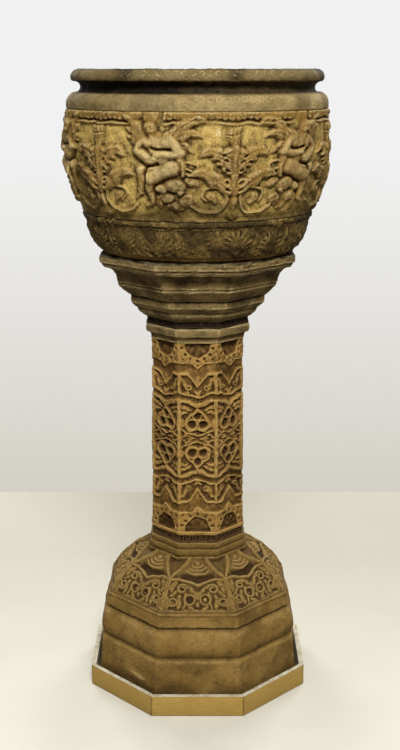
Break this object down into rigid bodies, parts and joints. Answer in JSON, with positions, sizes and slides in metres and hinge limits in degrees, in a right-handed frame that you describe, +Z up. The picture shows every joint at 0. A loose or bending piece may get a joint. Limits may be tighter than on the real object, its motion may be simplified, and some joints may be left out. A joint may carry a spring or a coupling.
{
  "type": "pedestal planter",
  "caption": "Round terracotta bowl with a relief frieze on a stepped octagonal carved pedestal that stands in a gilt octagonal tray; holds a potted plant.",
  "frame": {"origin": "centre of the tray's underside, on the ground under the axis of the bowl", "axes": "+Z up along the bowl's axis, -Y towards the front flat side that faces the camera, +X to its right"},
  "size_m": [0.434, 0.4346, 1.048],
  "materials": {
    "bowl_terracotta": "weathered ochre wash over fired clay, dark in the recesses",
    "pedestal_terracotta": "weathered brown wash over fired clay, dark in the recesses",
    "mortar": "rough dark jointing",
    "gilt_rail": "gold paint outside, pale bare edges",
    "tray_board": "bare plywood",
    "steel": "bright brads"
  },
  "bodies": {
    "tray": {"tray_floor": "tray_board", "tray_rail_1": "gilt_rail", "tray_rail_2": "gilt_rail", "tray_rail_3": "gilt_rail", "tray_rail_4": "gilt_rail", "tray_rail_5": "gilt_rail", "tray_rail_6": "gilt_rail", "tray_rail_7": "gilt_rail", "tray_rail_8": "gilt_rail", "mitre_pin_1": "steel", "mitre_pin_2": "steel", "mitre_pin_3": "steel", "mitre_pin_4": "steel", "mitre_pin_5": "steel", "mitre_pin_6": "steel", "mitre_pin_7": "steel", "mitre_pin_8": "steel", "rail_pin_1": "steel", "rail_pin_2": "steel", "rail_pin_3": "steel", "rail_pin_4": "steel", "rail_pin_5": "steel", "rail_pin_6": "steel", "rail_pin_7": "steel", "rail_pin_8": "steel", "rail_pin_9": "steel", "rail_pin_10": "steel", "rail_pin_11": "steel", "rail_pin_12": "steel", "rail_pin_13": "steel", "rail_pin_14": "steel", "rail_pin_15": "steel", "rail_pin_16": "steel"},
    "pedestal": {"base": "pedestal_terracotta", "lower_mortar": "mortar", "shaft": "pedestal_terracotta", "upper_mortar": "mortar", "capital": "pedestal_terracotta"},
    "bowl": {"bowl": "bowl_terracotta"}
  },
  "joints": [
    {"name": "pedestal_lift", "type": "slide", "parent": "tray", "child": "pedestal", "axis": [0, 0, 1], "range_m": [0, 0.06]},
    {"name": "bowl_lift", "type": "slide", "parent": "pedestal", "child": "bowl", "axis": [0, 0, 1], "range_m": [0, 0.12]}
  ]
}
